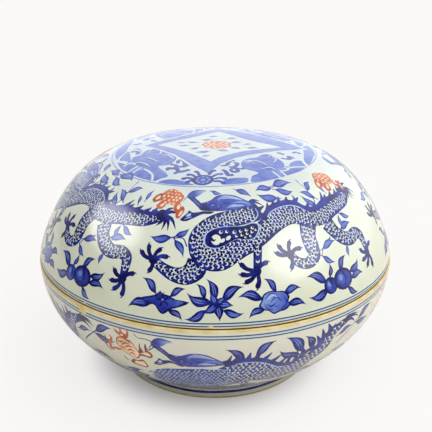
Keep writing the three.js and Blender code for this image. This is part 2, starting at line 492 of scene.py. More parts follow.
class Skin:
    """A turned piece's mesh: vertices with normals, and faces with paint and a place on the bake sheet."""
    WELD = 0.05  # mm within which corners of a painted outside are joined

    def __init__(self):
        self.index = {}
        self.points = []
        self.normals = []
        self.faces = []
        self.paints = []
        self.sheet = []

    def vertex(self, radius, height, turn, normal):
        point = (radius * math.sin(turn), -radius * math.cos(turn), height)
        key = tuple(round(c, 3) for c in point)
        if key not in self.index:
            self.index[key] = len(self.points)
            self.points.append(point)
            self.normals.append((normal.real * math.sin(turn), -normal.real * math.cos(turn), normal.imag))
        return self.index[key]

    def face(self, corners, paints, sheet):
        """Adds a face, turned to look the way its normals do."""
        if len(set(corners)) < len(corners):
            kept = [k for k, c in enumerate(corners) if c not in corners[:k]]
            corners, paints, sheet = ([part[k] for k in kept] for part in (corners, paints, sheet))
        if len(corners) < 3:
            return
        a, b, c = (Vector(self.points[k]) for k in corners[:3])
        if (b - a).cross(c - a).dot(Vector(self.normals[corners[1]])) < 0:
            corners, paints, sheet = corners[::-1], paints[::-1], sheet[::-1]
        self.faces.append(corners)
        self.paints.extend(paints)
        self.sheet.extend(sheet)

    def add_outside(self, outside, low, high, grain):
        """The painted outside between two ways up, as one net with points about a grain apart, in mm."""
        centre, reach = BAKE_SHEET["outside"]
        knots, triangles, looks = outside.cut(low, high)
        mesh_points = []
        for up in np.arange(low + grain, high - grain / 2, grain):
            count = max(int(2 * math.pi * outside.radius_at(up) / grain), 6)
            for k in range(count):
                spot = outside.flat(360 * (k + 0.5) / count, up)
                mesh_points.append(Vector((spot.real, spot.imag)))

        # Lines inside one paint do not show, so the net is cut along the others only.
        sides = {}
        for corners, look in zip(triangles, looks):
            for a, b in zip(corners, corners[1:] + corners[:1]):
                sides.setdefault((min(a, b), max(a, b)), []).append(look)
        shown = [edge for edge, pair in sides.items() if len(pair) < 2 or pair[0] != pair[1]]
        kept = sorted({k for edge in shown for k in edge})
        number = {k: n for n, k in enumerate(kept)}
        lines = [(number[a], number[b]) for a, b in shown]
        net = delaunay_2d_cdt([knots[k] for k in kept] + mesh_points, lines, [], 0, self.WELD, False)
        below = BVHTree.FromPolygons([k.to_3d() for k in knots], triangles)
        flats = [complex(p.x, p.y) for p in net[0]]
        vertices = [self.vertex(*outside.solid(f)) for f in flats]
        reach /= max(abs(f) for f in flats)
        for corners in net[2]:
            middle = sum(flats[k] for k in corners) / 3
            look = looks[below.find_nearest((middle.real, middle.imag, 0))[2]]
            if look:
                paints = [faded(*look, flats[k]) for k in corners]
                sheet = [centre + flats[k] * reach for k in corners]
                self.face([vertices[k] for k in corners], paints, sheet)

    def add_turned(self, profile, patch, paint_at):
        """A plain turned surface that ends on the axis; paint_at gives the paint at a profile's point."""
        centre, reach = BAKE_SHEET[patch]
        way = np.cumsum([0] + [abs(b[0] - a[0]) for a, b in zip(profile, profile[1:])])
        spokes = [2 * math.pi * k / COLUMNS for k in range(COLUMNS)]
        rings = []
        for (point, normal), along in zip(profile, way):
            paint = paint_at(point)
            size = reach * (1 - along / way[-1])
            ring = [self.vertex(point.real, point.imag, s, normal) for s in spokes]
            rings.append([(v, paint, centre + size * cmath.exp(1j * s)) for v, s in zip(ring, spokes)])
        for outer, inner in zip(rings, rings[1:]):
            for k in range(COLUMNS):
                after = (k + 1) % COLUMNS
                corners = [outer[k], outer[after], inner[after], inner[k]]
                self.face(*([c[part] for c in corners] for part in range(3)))

    def build(self, name):
        mesh = bpy.data.meshes.new(name)
        mesh.from_pydata([tuple(c * MM for c in p) for p in self.points], [], self.faces)
        paint = mesh.color_attributes.new("paint", "FLOAT_COLOR", "CORNER")
        paint.data.foreach_set("color", [c for p in self.paints for c in p])
        sheet = mesh.uv_layers.new(name="OFBake")
        sheet.data.foreach_set("uv", [c for p in self.sheet for c in (p.real, p.imag)])
        mesh.shade_smooth()
        mesh.normals_split_custom_set_from_vertices(self.normals)
        return placed(name, mesh)


bowl_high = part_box("bowl")[1] / MM
cover_low, cover_high = (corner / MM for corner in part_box("cover"))
SEAT_GAP = 0.3
BOWL_RADIUS = bowl_high.x
BOWL_HEIGHT = cover_low.z - SEAT_GAP
BOWL_FULLNESS = 2.26  # power of the side's curve
BOWL_WALL = 7
FOOT_RADIUS = 99.5
FOOT_HEIGHT = 11.2
FOOT_WIDTH = 9
FOOT_RECESS = 10
FLOOR_HEIGHT = 19
MOUTH_ROUND = 2
FOOT_EDGE = 1.5  # height of the foot's rounded bare edge
INSIDE_TOP = 100  # where the wall thickens to carry the flange
FLOOR_CURVE = 12  # mm over which wall and floor run together
FLOOR_ROUND = 18
GALLERY_SEAT = 3  # straight part inside, under the ledge
FLANGE_THICKNESS = 4
FLANGE_RADIUS = 161.2
BARE_BAND = 3.8  # wiped edge below the ledge


def bowl_radius(height):
    """Side of the bowl, run softly into the upright foot."""
    down = max(BOWL_HEIGHT - height, 0) / (BOWL_HEIGHT - FOOT_HEIGHT)
    side = BOWL_RADIUS - (BOWL_RADIUS - FOOT_RADIUS) * down ** BOWL_FULLNESS
    return (side + FOOT_RADIUS + math.hypot(side - FOOT_RADIUS, 3)) / 2


mouth = BOWL_HEIGHT - MOUTH_ROUND
bowl_heights = np.linspace(FOOT_EDGE, mouth, 400)
bowl_outside = Outside([bowl_radius(z) for z in bowl_heights], bowl_heights, FOOT_HEIGHT, "foot")

# Painted circles below the mouth: the bare edge, and two lines with a pale wash between them.
bowl_outside.circle(bowl_outside.up_at(mouth), CLAY)
bowl_outside.circle(bowl_outside.up_at(BOWL_HEIGHT - BARE_BAND * 0.6), SAND, 0.5)
bowl_outside.circle(bowl_outside.up_at(BOWL_HEIGHT - BARE_BAND), GROUND, 0.6)


def bowl_line(height, thickness, paint, below):
    """A line round the bowl, and the paint below it."""
    bowl_outside.circle(bowl_outside.up_at(height + thickness / 2), paint, LINE_WAVER)
    bowl_outside.circle(bowl_outside.up_at(height - thickness / 2), below, LINE_WAVER)


bowl_line(111.2, LINE_THICKNESS, SLATE, MIST)
bowl_line(108.4, LINE_THICKNESS, SLATE, GROUND)

# One dragon as (degrees, mm): its lower body and tail, then the neck that lies over it.
BOWL_DEGREE = 2.85  # mm per degree of turn, at the dragons
BOWL_BODY = ((-16.5, 66), (-17, 59), (-12, 54), (-5, 53), (0, 56), (2, 63), (3.4, 72), (6, 79), (9, 81),
             (13, 79.5), (17, 75), (21.4, 70.5), (25.4, 74), (27.6, 82), (30, 88.5), (32.6, 94), (33.8, 103),
             (35.2, 110), (38, 115.5), (41, 118.5))
BOWL_WIDTHS = (16, 17, 18, 18, 20, 28, 34, 36, 37, 36, 34, 30, 24, 20, 17, 14, 12, 10, 8, 5)
BOWL_NECK = ((3.4, 80), (-2, 74), (-7.6, 71), (-13, 69), (-17, 67), (-19.4, 66))
BOWL_FIN = ((3.4, 95), (6.6, 100.4), (9.7, 101), (12.6, 99.6), (15.6, 95), (18.4, 88.6), (21.4, 85.6),
            (23.8, 87), (25.4, 93), (27.4, 98.4), (30.2, 100), (31.4, 106), (33.2, 112.5), (36, 118.5))
BOWL_THORNS = (((3, 95), (4.6, 108.5)), ((5, 98), (6.6, 108.5)), ((9, 101), (9.7, 110)),
               ((11, 100), (12.8, 109)), ((13.4, 98), (15.8, 107)), ((16, 94), (19, 103)),
               ((18.6, 88), (21.3, 100)), ((21.2, 86), (22.2, 102.5)), ((24, 87), (23.6, 105)),
               ((26, 97), (25, 106)), ((28.6, 100), (27.9, 110.5)), ((31, 105), (29.2, 114)),
               ((32, 109), (30.8, 119.5)), ((34, 115), (32.8, 122.5)))
BOWL_LEAVES = (((8.4, 100), (2.6, 114)), ((11, 104), (16.8, 119)), ((25.6, 99), (19.2, 120)),
               ((25.2, 96), (17.8, 107)), ((29, 99), (25.2, 117)), ((46, 111), (52.6, 120)),
               ((45.4, 109), (53, 107)), ((38, 104), (44, 108)), ((-24, 62), (-31, 54)),
               ((40, 80), (48, 70)), ((43, 64), (53, 58)), ((-24, 72), (-32, 68)))

# Waves round the foot: rows of overlapping ripples under a dark line.
WAVE_TOP = 46
WAVES_ROUND = 48
bowl_outside.circle(WAVE_TOP, NAVY, 1.0)
bowl_outside.circle(WAVE_TOP - 2.4, COBALT, 1.0)
for row in range(4):
    for k in range(WAVES_ROUND):
        crest = (360 * (k + row % 2 / 2) / WAVES_ROUND, 36 - 9 * row)
        ripple = Brush(bowl_outside, bowl_outside.here(*crest))
        for size, paint, points in ((1.0, NAVY, 10), (0.84, MILK, 10), (0.7, BLUE, 8), (0.4, NAVY, 6)):
            ripple.dot(0, size * math.pi * bowl_outside.radius_at(crest[1]) / WAVES_ROUND, paint, 0.9,
                       points=points)
bowl_outside.circle(8, NAVY, 0.6)
bowl_outside.circle(3.5, GROUND, 0.4)
bowl_line(7.4, 3.0, NAVY, GROUND)
bowl_line(2.4, 0.6, SAND, BROWN)


def at(degrees, up):
    """A place in one dragon's share of the bowl, in mm."""
    return complex(degrees * BOWL_DEGREE, up)


for turn, stretch in SECTORS:
    brush = sector(bowl_outside, BOWL_DEGREE, turn, stretch)
    outlined_pearl(brush, at)
    for k, (base, tip) in enumerate(BOWL_LEAVES):
        leaf(brush, at(*base), at(*tip), 0.36, bend=0.12 if k % 2 else -0.12)
    brush.stroke(curve(at, ((39, 92), (42, 101), (46, 111))), (1.2, 1.6, 0.6), COBALT)
    for leg, palm, spread in ((((-12, 50), (-17, 44), (-21, 47)), (-25, 50), (110, 160, 205, 255, 60)),
                              (((22, 74), (27, 63), (32, 62)), (36, 54), (200, 250, 290, 340, 60)),
                              (((6, 66), (10, 56), (10, 50)), (10, 45), (200, 240, 280, 330, 30))):
        scaly(brush, curve(at, (*leg, palm)), (9, 7, 6, 5))
        claw(brush, at(*palm), [at(*palm) + cmath.rect(12, math.radians(a)) for a in spread])
    scaly(brush, curve(at, BOWL_BODY, 5), BOWL_WIDTHS, MILK, 4.4, 0.43, seats_over)
    fin(brush, at, BOWL_FIN, BOWL_THORNS, BOWL_FIN[:7], 3.4)
    tuft(brush, at, (39.6, 117), ((43, 122), (45.4, 119.5), (46, 115.5), (44.6, 111), (41, 123)), 3.2)
    neck = curve(at, BOWL_NECK, 5)
    brush.stroke(neck, (22, 36, 38, 36, 30, 16), PALE)
    scaly(brush, neck, (19, 33, 35, 33, 27, 13), PALE, 3.8, 0.41, seats_over)
    dragon_head(brush, lambda d, u: at(0.76 * d - 8.4, u - 3 + 7.5 * min(max(-d / 6, 0), 1)), 0.95)
    brush.stroke(curve(at, ((-15, 115.3), (-18.8, 118.5), (-21.1, 118.4), (-22.4, 121.5))), (1.0, 0.8, 0.6),
                 NAVY)
    brush.stroke(curve(at, ((-15, 113), (-16.7, 111.7), (-18.3, 107.6), (-19.2, 108.8))), (1.2, 1.0, 0.6),
                 NAVY)

# A chip in the edge, down to golden clay.
chip = Brush(bowl_outside, bowl_outside.here(-40.2, 129.4))
chip.fill(smooth([-7.5 + 2.6j, 4.6 + 2.6j, 5.4 - 1j, 4 - 4.6j, 0.6 - 5.8j, -2.4 - 3.4j], 3, closed=True),
          CLAY)

inside_wall = []
for height in np.linspace(INSIDE_TOP, FLOOR_HEIGHT + FLOOR_CURVE, 10):
    k = np.argmin(abs(bowl_outside.heights - height))
    normal = complex(bowl_outside.out[k], bowl_outside.rise[k])
    spot = complex(bowl_outside.radii[k], bowl_outside.heights[k]) - BOWL_WALL * normal
    inside_wall.append((spot, -normal))
flange_inside = FLANGE_RADIUS - FLANGE_THICKNESS
floor_radius = inside_wall[-1][0].real - FLOOR_CURVE
mouth_profile = rounded([complex(bowl_radius(mouth), mouth), complex(bowl_radius(mouth), BOWL_HEIGHT),
                         complex(FLANGE_RADIUS, BOWL_HEIGHT), complex(FLANGE_RADIUS, bowl_high.z),
                         complex(flange_inside, bowl_high.z),
                         complex(flange_inside, BOWL_HEIGHT - GALLERY_SEAT)],
                        (MOUTH_ROUND * 0.98, 0.8, 1.2, 1.2), -1)
floor_profile = rounded([inside_wall[-1][0], complex(floor_radius, FLOOR_HEIGHT), 0 + 1j * FLOOR_HEIGHT],
                        (FLOOR_ROUND,), -1)
foot_inside = FOOT_RADIUS - FOOT_WIDTH
foot_radius = bowl_radius(FOOT_EDGE)
foot_profile = rounded([complex(foot_radius, FOOT_EDGE), complex(foot_radius, 0), complex(foot_inside, 0),
                        complex(foot_inside, FOOT_RECESS), 0 + 1j * FOOT_RECESS], (1.3, 1.3, 2.0), 1, 3)


def mouth_paint(p):
    """Bare round the flange, and painted dark as shade in the joint under the cover's rim."""
    if p.imag < BOWL_HEIGHT - 2.5:
        return GROUND
    return PAINTED_JOINT_SHADE if abs(p.imag - BOWL_HEIGHT) < 0.2 and p.real > FLANGE_RADIUS + 1 else CLAY


bowl_skin = Skin()
bowl_skin.add_outside(bowl_outside, bowl_outside.up[0], bowl_outside.up[-1], grain=7.0)
bowl_skin.add_turned(mouth_profile + inside_wall + floor_profile[1:], "inside", mouth_paint)
bowl_skin.add_turned(foot_profile, "under", lambda p: BROWN if p.imag < FOOT_EDGE + 0.05 else GROUND)
bowl = bowl_skin.build("bowl_porcelain")


def linear(hex_colour):
    """An sRGB hex colour as the linear colour that a shader takes."""
    channels = [int(hex_colour[k:k + 2], 16) / 255 for k in (1, 3, 5)]
    return (*(c / 12.92 if c <= 0.04045 else ((c + 0.055) / 1.055) ** 2.4 for c in channels), 1.0)


def emptied(owner):
    """The node tree of a material, world or lamp, with nothing in it yet."""
    owner.use_nodes = True
    owner.node_tree.nodes.clear()
    return owner.node_tree


def node(tree, kind, inputs=None, **settings):
    """One shader node, with its attributes as settings; an input is a value, a socket, or a node for the
    first of its outputs."""
    made = tree.nodes.new("ShaderNode" + kind)
    for key, value in settings.items():
        setattr(made, key, value)
    for key, value in (inputs or {}).items():
        if isinstance(value, bpy.types.Node):
            value = next(socket for socket in value.outputs if socket.enabled)
        if isinstance(value, bpy.types.NodeSocket):
            tree.links.new(value, made.inputs[key])
        else:
            made.inputs[key].default_value = value
    return made


def stops(ramp, colours):
    """Sets a colour ramp's stops from (place, hex colour) pairs."""
    elements = ramp.color_ramp.elements
    while len(elements) < len(colours):
        elements.new(0.5)
    for element, (place, colour) in zip(elements, colours):
        element.position = place
        element.color = linear(colour)


GLAZE_CLOUDS = 30 * MM  # drifts in the glaze's thickness
BRUSH_STREAKS = 9 * MM  # where cobalt pools and thins
CLAY_SPOTS = 12 * MM
GLAZE_RIPPLES = 14 * MM
RIPPLE_DEPTH = 1.2 * MM


def painted_porcelain(name, glaze_and_shade_tones, low, high):
    """Glazed porcelain: white where the glaze thins and greener where it gathers low down, with painted
    shade that darkens the lowest part and, on the cover, the crown; cobalt that pools dark in the stroke,
    iron red, and dull golden clay where bare, darkened to brown at the foot and as painted shade in the
    joint."""
    material = bpy.data.materials.new(name)
    tree = emptied(material)
    place = node(tree, "TexCoord").outputs["Object"]
    height = node(tree, "SeparateXYZ", {"Vector": place}).outputs["Z"]
    paint = node(tree, "Attribute", attribute_name="paint").outputs
    cobalt, iron, bare = node(tree, "SeparateColor", {"Color": paint["Color"]}).outputs
    line = paint["Alpha"]
    cloudy = node(tree, "TexNoise", {"Vector": place, "Scale": 1 / GLAZE_CLOUDS, "Detail": 4.0})
    # Glaze tone by height: thick and greener low down, thinner higher up, with painted shade in the lowest
    # tones and at the cover's crown.
    thinning_and_shading = node(tree, "MapRange", {"Value": height, "From Min": low, "From Max": high})
    gathered_and_shaded = node(tree, "Math", {0: cloudy, 1: 0.3, 2: thinning_and_shading}, operation="MULTIPLY_ADD")
    glaze = node(tree, "ValToRGB", {"Fac": gathered_and_shaded})
    stops(glaze, glaze_and_shade_tones)
    brushed = node(tree, "TexNoise", {"Vector": place, "Scale": 1 / BRUSH_STREAKS, "Detail": 6.0,
                                      "Roughness": 0.68})
    pooling = node(tree, "MapRange", {"Value": brushed, "From Min": 0.3, "From Max": 0.7, "To Min": 0.76,
                                      "To Max": 1.16})
    pooled = node(tree, "Math", {0: cobalt, 1: pooling}, operation="MULTIPLY")
    blue = node(tree, "ValToRGB", {"Fac": pooled})
    stops(blue, ((0.0, "#b9c8d4"), (0.16, "#a6b9d8"), (0.36, "#7089c6"), (0.60, "#3c50ac"),
                 (0.80, "#212d90"), (1.0, "#0a0d50")))
    covered = node(tree, "MapRange", {"Value": cobalt, "From Max": 0.12})
    painted = node(tree, "Mix", {0: covered, 6: glaze, 7: blue}, data_type="RGBA")
    pooled_iron = node(tree, "Math", {0: iron, 1: pooling}, operation="MULTIPLY")
    rust = node(tree, "ValToRGB", {"Fac": pooled_iron})
    stops(rust, ((0.0, "#f6ead6"), (0.25, "#f0cba8"), (0.42, "#dda97c"), (0.62, "#dd8257"),
                 (0.85, "#a54424"), (1.0, "#6e4027")))
    rusty = node(tree, "MapRange", {"Value": iron, "From Max": 0.1})
    reddened = node(tree, "Mix", {0: rusty, 6: painted, 7: rust}, data_type="RGBA")
    slate = node(tree, "ValToRGB", {"Fac": line})
    stops(slate, ((0.0, "#d6e0dc"), (0.3, "#bccfd6"), (1.0, "#2c4468")))
    lined = node(tree, "MapRange", {"Value": line, "From Max": 0.25})
    line_work = node(tree, "Mix", {0: lined, 6: reddened, 7: slate}, data_type="RGBA")
    spotted = node(tree, "TexNoise", {"Vector": place, "Scale": 1 / CLAY_SPOTS, "Detail": 2.0})
    clay = node(tree, "ValToRGB", {"Fac": spotted})
    stops(clay, ((0.35, "#cfb76c"), (0.5, "#d9c586"), (0.65, "#e2d3a0")))
    # Bare clay darkens with the fourth density: to brown at the foot, and to near-black brown as painted
    # shade in the joint under the cover.
    clay_brown_and_shaded = node(tree, "Mix", {0: line, 6: clay, 7: linear("#4a3016")}, data_type="RGBA")
    colour = node(tree, "Mix", {0: bare, 6: line_work, 7: clay_brown_and_shaded}, data_type="RGBA")
    dull = node(tree, "MapRange", {"Value": bare, "To Min": 0.12, "To Max": 0.7})
    peel = node(tree, "TexNoise", {"Vector": place, "Scale": 1 / GLAZE_RIPPLES, "Detail": 2.0})
    ripple = node(tree, "Bump", {"Height": peel, "Strength": 0.12, "Distance": RIPPLE_DEPTH})
    glazed = node(tree, "BsdfPrincipled", {"Base Color": colour, "Roughness": dull, "IOR": 1.52,
                                           "Normal": ripple})
    node(tree, "OutputMaterial", {"Surface": glazed})
    return material


# Glaze tones up the bowl: greener where the glaze gathers low down, and darker there as painted shade.
bowl_glaze_and_shade = ((0.2, "#c4c5ae"), (0.7, "#d0d1be"), (0.95, "#d6d7c8"))
bowl.data.materials.append(painted_porcelain("painted porcelain, bowl", bowl_glaze_and_shade, low=0.0, high=0.13))
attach(bowl, "bowl")
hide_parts("bowl")


# Cover
# Thrown porcelain dome on a short upright skirt, loose on the bowl's ledge, its rim wiped bare.
# Painted with a round medallion on the crown, four dragons chasing pearls, and a border of fruit sprays.
COVER_RADIUS = cover_high.x
COVER_SKIRT = 4.6
COVER_WALL = 6.5
SHOULDER_FULLNESS = 4.4  # power across the dome: 2 is an ellipse, higher is squarer
CROWN_FULLNESS = 1.14  # power up the dome
RIM_ROUND = 1.2
RIM_HEIGHT = cover_low.z
spring = RIM_HEIGHT + COVER_SKIRT
rise = cover_high.z - spring

dome_angles = math.pi / 2 * (1 - (1 - np.linspace(0, 1, 600)) ** 2.2)
dome_radii = COVER_RADIUS * np.abs(np.cos(dome_angles)) ** (2 / SHOULDER_FULLNESS)
dome_heights = spring + rise * np.sin(dome_angles) ** (2 / CROWN_FULLNESS)
dome_radii[-1] = 0
cover_outside = Outside(np.concatenate([[COVER_RADIUS, COVER_RADIUS], dome_radii]),
                        np.concatenate([[RIM_HEIGHT, RIM_HEIGHT + RIM_ROUND], dome_heights]), RIM_HEIGHT,
                        "crown")

# Painted circles: the bare rim, and two lines with a pale wash between them.
cover_outside.circle(RIM_ROUND + 0.05, CLAY)
cover_outside.circle(RIM_ROUND + 0.3, MIST, 0.3)
for up, above in ((2.4, MIST), (4.9, GROUND)):
    cover_outside.circle(up - LINE_THICKNESS / 2, SLATE, LINE_WAVER)
    cover_outside.circle(up + LINE_THICKNESS / 2, above, LINE_WAVER)

# Medallion: a ring drawn a little out of round, a lozenge with a red peony, and clouds over waves round it.
MEDALLION_RADIUS = 97.5
MEDALLION_STRAY = 0.034
LOZENGE = (-6 - 75j, 6 - 53j, 18 - 39j, 30 - 30j, 56 - 15j, 85 + 3j, 58 + 26j, 35 + 46j, 5 + 71j, -21 + 48j,
           -47 + 25j, -68 + 6j, -51 - 10j, -37 - 26j, -29 - 39j, -20 - 56j)
LOZENGE_INSIDE = (-4 - 48j, 4 - 36j, 16 - 25j, 28 - 16j, 44 - 10j, 63 - 2j, 54 + 5j, 41 + 13j, 29 + 24j,
                  17 + 39j, 4 + 54j, -10 + 42j, -25 + 29j, -40 + 18j, -55 + 5j, -47 - 1j, -34 - 12j,
                  -23 - 23j, -11 - 38j)
WAVES = (
    (-89 - 25j, -94 - 9j, -95 + 8j, -93 + 16j, -86 + 12j, -87 - 1j, -88 - 16j),
    (-86 - 28j, -85 - 18j, -82 - 9j, -79 - 13j, -76 - 28j, -74 - 39j, -80 - 33j),
    (-87 - 33j, -82 - 37j, -76 - 43j, -69 - 49j, -72 - 54j, -75 - 56j, -81 - 49j),
    (-70 - 62j, -65 - 59j, -61 - 59j, -57 - 63j, -54 - 70j, -53 - 77j, -61 - 73j),
    (-52 - 64j, -46 - 66j, -39 - 75j, -44 - 77j, -47 - 79j, -50 - 80j),
    (-47 - 83j, -43 - 81j, -37 - 81j, -29 - 84j, -21 - 90j, -17 - 93j, -29 - 91j, -40 - 87j),
    (31 - 90j, 32 - 82j, 38 - 73j, 49 - 68j, 53 - 74j, 57 - 78j, 43 - 86j),
    (5 - 94j, 10 - 86j, 19 - 84j, 28 - 84j, 27 - 91j, 17 - 94j),
    (59 - 68j, 65 - 62j, 73 - 57j, 82 - 51j, 76 - 61j, 66 - 71j),
    (68 - 53j, 70 - 44j, 77 - 36j, 81 - 37j, 83 - 47j),
    (86 - 42j, 83 - 35j, 83 - 24j, 84 - 8j, 84 + 10j, 88 + 17j, 92 + 5j, 93 - 14j, 90 - 32j),
)
BACKINGS = (
    (-79 - 45j, -74 - 33j, -62 - 34j, -50 - 54j, -39 - 75j, -50 - 80j, -57 - 76j, -66 - 68j, -75 - 57j),
    (26 - 66j, 40 - 58j, 60 - 56j, 82 - 50j, 76 - 62j, 66 - 71j, 57 - 79j, 44 - 86j, 31 - 90j, 32 - 80j,
     38 - 73j),
)
CLOUDS = (
    (-74 - 33j, -73 - 26j, -68 - 24j, -66 - 18j, -63 - 11j, -58 - 10j, -51 - 13j, -44 - 18j, -37 - 28j,
     -34 - 38j, -37 - 49j, -42 - 54j, -48 - 54j, -49 - 61j, -53 - 64j, -59 - 57j, -65 - 50j, -71 - 43j),
    (25 - 66j, 23 - 56j, 25 - 46j, 30 - 40j, 38 - 36j, 44 - 27j, 49 - 26j, 54 - 33j, 59 - 39j, 63 - 50j,
     61 - 58j, 55 - 62j, 50 - 67j, 38 - 72j, 31 - 68j),
)
BARE_LINES = (
    (-74 - 57j, -66 - 49j), (-70 - 61j, -63 - 53j), (-60 - 57j, -55 - 64j, -52 - 71j, -52 - 79j),
    (-48 - 82j, -44 - 79j, -37 - 78j, -29 - 81j), (-80 - 44j, -74 - 40j, -69 - 45j), (51 - 69j, 58 - 79j),
    (58 - 65j, 64 - 75j), (37 - 74j, 31 - 80j, 29 - 92j), (65 - 59j, 73 - 53j, 82 - 49j),
    (81 - 28j, 82 - 39j, 86 - 48j), (26 - 48j, 33 - 45j), (63 - 57j, 66 - 61j, 60 - 66j),
)
CLOUD_CURLS = (
    (-78 - 14j, -76 - 2j, -69 - 9j, -69 - 21j), (-61 - 20j, -58 - 9j, -50 - 15j, -50 - 25j, -55 - 27j),
    (-48 - 28j, -42 - 30j, -36 - 41j), (-66 - 36j, -61 - 33j, -55 - 39j, -49 - 47j),
    (-70 - 42j, -62 - 46j, -56 - 55j), (41 - 31j, 46 - 27j, 52 - 29j, 49 - 36j),
    (52 - 36j, 56 - 41j, 53 - 51j), (28 - 55j, 35 - 47j, 42 - 51j, 47 - 58j),
    (41 - 67j, 49 - 62j, 54 - 67j),
)
SCROLLS = (
    (-40 - 65j, -40 - 60j, -35 - 62j, -33 - 56j, -37 - 53j), (-34 - 58j, -31 - 68j, -33 - 71j),
    (-31 - 70j, -27 - 69j, -23 - 67j), (-32 - 51j, -32 - 44j, -28 - 44j, -26 - 52j, -27 - 59j, -30 - 59j),
    (-27 - 60j, -23 - 56j, -20 - 56j), (-78 - 12j, -76 - 10j, -71 - 14j, -71 - 19j),
    (5 - 59j, 10 - 58j, 12 - 51j, 16 - 46j), (12 - 62j, 17 - 62j, 20 - 54j, 18 - 52j),
    (13 - 69j, 16 - 65j, 20 - 66j, 24 - 66j), (13 - 69j, 16 - 73j, 20 - 71j, 19 - 68j),
    (6 - 68j, 9 - 72j, 11 - 79j, 14 - 79j), (73 - 17j, 76 - 13j, 79 - 15j),
    (61 - 35j, 65 - 36j, 69 - 35j, 68 - 28j, 72 - 31j), (58 - 19j, 63 - 23j),
)
JEWEL = -10 - 86j
JEWEL_RAYS = (-16 + 4j, -13 - 2j, -12 + 10j, -6 + 15j, 9 + 16j, 15 + 9j, 18 + 1j, 17 - 6j)


def crown(p):
    """The crown seen from above: real to the right, imaginary to the back."""
    reach = min(abs(p) / MEDALLION_RADIUS, 1)
    turn = cmath.phase(p * 1j) if p else 0
    return p * (1 - MEDALLION_STRAY * reach * math.sin(2 * turn))


crown_brush = Brush(cover_outside, crown)
ring = [cmath.exp(2j * math.pi * k / 180) for k in range(180)]
crown_brush.fill([MEDALLION_RADIUS * r for r in ring], WASH)
crown_brush.fill([(MEDALLION_RADIUS - 1.3) * r for r in ring], MILK)
for side in (1, -1):
    for tone, shapes in (((0.46, 0, 0, 0), BACKINGS), ((0.54, 0, 0, 0), WAVES), ((0.58, 0, 0, 0), CLOUDS)):
        for places in shapes:
            crown_brush.fill(smooth([side * p for p in places], 3, closed=True), tone)
    for places in BARE_LINES:
        crown_brush.stroke(smooth([side * p for p in places], 4), (1.9,), GROUND)
    for k, places in enumerate(CLOUD_CURLS):
        curl = smooth([side * p for p in places], 4)
        crown_brush.stroke(curl, (0.6, 2.6, 1.2), COBALT)
        crown_brush.stroke([p + 1.8j for p in curl], (0.5, 1.7, 0.8), MILK if k % 3 else PALE)
    for places in SCROLLS:
        curl = smooth([side * p for p in places], 4)
        crown_brush.stroke(curl, (3.2, 4.2, 3.0), COBALT)
        crown_brush.dot(curl[-1], 2.2, COBALT, points=8)
crown_brush.fill([p * 1.05 for p in LOZENGE], GROUND)
crown_brush.fill(list(LOZENGE), (0.52, 0, 0, 0))
crown_brush.fill(list(LOZENGE_INSIDE), GROUND)
for side in (1, -1):
    for ray in JEWEL_RAYS:
        root = JEWEL + ray * 0.5
        bow = JEWEL + ray * 0.8 + 1.5j
        crown_brush.stroke(smooth([side * p for p in (root, bow, JEWEL + ray)], 3), (2.8, 3.0, 3.4), COBALT)
        crown_brush.dot(side * (JEWEL + ray), 2.3, COBALT, points=8)
    for size, paint in ((9.0, NAVY), (6.6, BLUE), (3.6, COBALT), (2.0, WASH)):
        crown_brush.dot(side * JEWEL, size, paint, 0.92, points=20)
    for k in range(8):
        crown_brush.dot(side * JEWEL + cmath.rect(5.1, k * 0.785), 1.0, WASH, points=6)
for base, tip in ((-29 + 12j, -38 + 13j), (-17 + 12j, -28 + 16j), (-25 + 2j, -36 + 3j),
                  (-15 - 5j, -25 - 10j), (-5 - 17j, -19 - 20j), (2 - 14j, 13 - 19j), (14 - 5j, 24 - 11j),
                  (15 + 11j, 27 + 12j), (-5 - 31j, -13 - 31j), (-3 + 23j, -15 + 22j), (11 + 24j, 23 + 27j),
                  (29 - 7j, 42 - 8j), (27 + 5j, 36 + 6j), (-6 + 32j, 4 + 34j)):
    leaf(crown_brush, base, tip, 0.5, COBALT, BLUE)
heart_of_peony = 1.5 + 4j
for count, reach, size in ((9, 10.0, 4.6), (6, 5.4, 3.8), (3, 1.8, 2.6)):
    for k in range(count):
        seat = heart_of_peony + cmath.rect(reach, 2 * math.pi * (k + 0.5 * (count % 2)) / count)
        crown_brush.dot(seat, size, RED, points=10)
        crown_brush.dot(seat, size * 0.66, ROSE, points=8)
        crown_brush.dot(seat, size * 0.3, BLUSH, points=6)

# Dragons, pearls and sprigs: (degrees, mm) within one sector, as the front dragon lies.
COVER_DEGREE = 2.7  # mm per degree of turn, at the dragons
SPINE = ((14.6, 91.5), (9.8, 90), (5.1, 88), (0.3, 85.5), (-3.4, 80), (-5.6, 72), (-5.5, 64), (-3.9, 58),
         (-1.2, 55), (1.9, 55.5), (5.4, 60), (8.5, 64), (11.6, 67.5), (15.2, 73), (19.1, 79.5), (23.7, 85),
         (28.2, 86), (32, 82), (35.7, 78), (40.9, 77), (46.3, 79.5), (51.5, 81), (56.5, 82), (60.5, 85),
         (63, 88))
BODY = (14, 15, 14, 13, 13, 14, 14, 17, 18, 18, 16, 15, 15, 16, 17, 18, 17, 15.5, 14, 13, 12.5, 12, 11, 9, 7)
LOOP = ((-3.2, 70), (-2.7, 75), (-0.7, 78.6), (2.3, 80.6), (5.8, 81), (9.6, 81), (12.4, 82.6), (14.6, 81.5),
        (14.4, 76), (12.6, 70.5), (10, 69.6), (7.3, 70.6), (5, 68.5), (2.8, 65.5), (0.6, 63.8), (-1.6, 64.2),
        (-2.9, 66.4))
NECK_LINE = ((9.6, 81.4), (12.4, 83.2), (14.8, 87), (15.9, 91), (15.4, 96))
FIN = ((16.2, 96), (16.2, 90), (17.4, 87.5), (19.2, 90.5), (21.4, 94.5), (25.3, 97), (29.8, 97),
       (33.1, 93.8), (35.2, 88.6), (38, 85.6), (41.4, 85.4), (45, 88), (49, 88.6), (53.5, 88.4), (57, 88.2),
       (60.5, 91))
